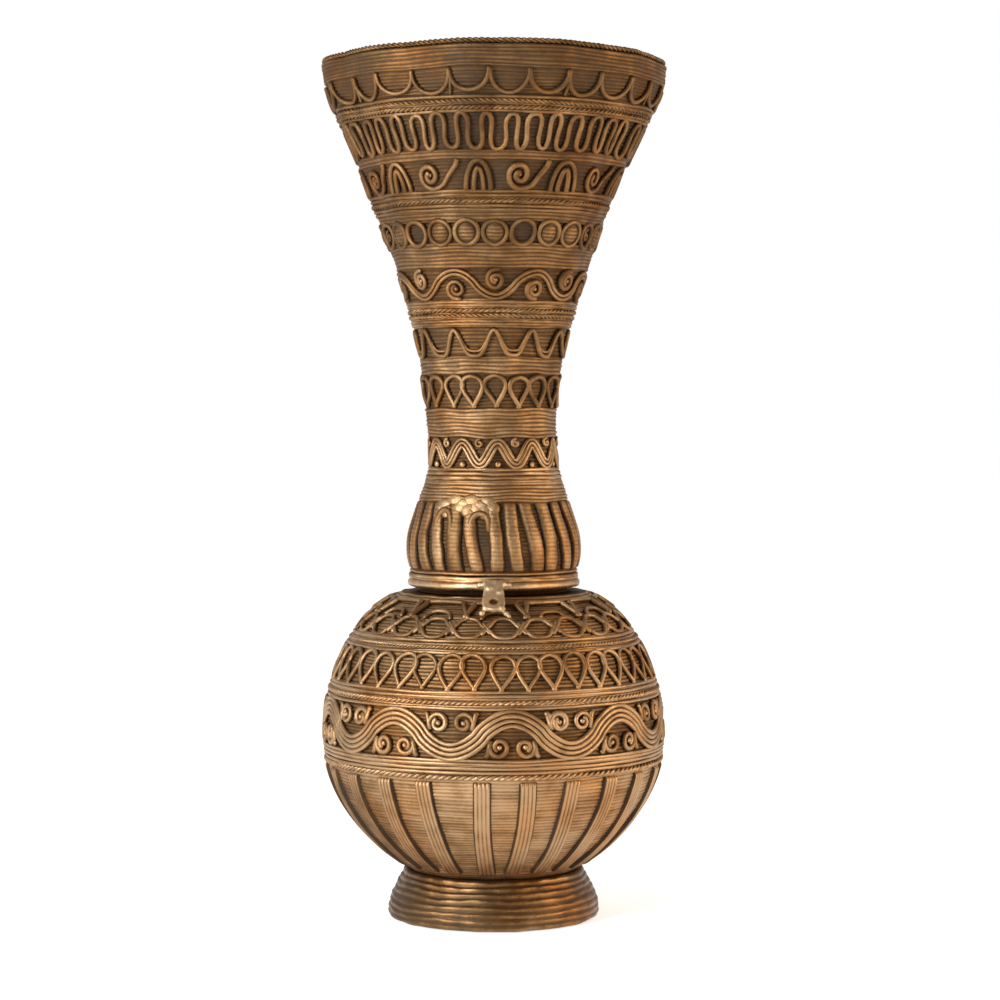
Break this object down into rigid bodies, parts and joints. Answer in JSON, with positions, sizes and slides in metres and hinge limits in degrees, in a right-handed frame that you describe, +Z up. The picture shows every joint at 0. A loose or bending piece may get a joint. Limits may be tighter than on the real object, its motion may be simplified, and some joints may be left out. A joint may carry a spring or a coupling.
{
  "type": "cast brass vase",
  "caption": "Tall footed vase with a round globe, a small ribbed bulb and a long flared neck with a lobed mouth; the neck lifts off the globe.",
  "frame": {"origin": "centre of the foot's base, on the surface that the vase stands on", "axes": "+Z up along the vase's axis, -Y towards the front, where the lug is"},
  "size_m": [0.1292, 0.1292, 0.32],
  "materials": {
    "wound_brass": "antiqued cast brass with dark patina between the wound threads",
    "raised_brass": "antiqued cast brass, rubbed bright along the tops of the wires",
    "polished_brass": "worn smooth cast brass"
  },
  "bodies": {
    "globe": {"foot_ring": "wound_brass", "lower_bowl": "wound_brass", "shoulder_shell": "wound_brass", "neck_socket": "wound_brass", "girdle_rope": "raised_brass", "upper_girdle_rope": "raised_brass", "shoulder_rope": "raised_brass", "vine_band": "raised_brass", "petal_band": "raised_brass", "lower_lattice": "raised_brass", "upper_lattice": "raised_brass", "bowl_strap_01": "raised_brass", "bowl_strap_02": "raised_brass", "bowl_strap_03": "raised_brass", "bowl_strap_04": "raised_brass", "bowl_strap_05": "raised_brass", "bowl_strap_06": "raised_brass", "bowl_strap_07": "raised_brass", "bowl_strap_08": "raised_brass", "bowl_strap_09": "raised_brass", "bowl_strap_10": "raised_brass", "bowl_strap_11": "raised_brass", "bowl_strap_12": "raised_brass", "bowl_strap_13": "raised_brass", "bowl_strap_14": "raised_brass", "bowl_strap_15": "raised_brass", "bowl_strap_16": "raised_brass", "bowl_strap_17": "raised_brass", "bowl_strap_18": "raised_brass", "bowl_strap_19": "raised_brass", "bowl_strap_20": "raised_brass", "bowl_strap_21": "raised_brass", "bowl_strap_22": "raised_brass", "bowl_strap_23": "raised_brass"},
    "neck": {"neck_trumpet": "wound_brass", "collar_bulb": "wound_brass", "bead_ring": "polished_brass", "fixing_lug": "polished_brass", "rim_rope": "raised_brass", "festoon_band": "raised_brass", "upper_rope": "raised_brass", "loop_band": "raised_brass", "scroll_band": "raised_brass", "middle_rope": "raised_brass", "ring_band": "raised_brass", "lower_scroll_band": "raised_brass", "lower_rope": "raised_brass", "garland_band": "raised_brass", "teardrop_band": "raised_brass", "throat_wave_band": "raised_brass"}
  },
  "joints": [
    {"name": "neck_lift", "type": "slide", "parent": "globe", "child": "neck", "axis": [0, 0, 1], "range_m": [0, 0.035]}
  ]
}
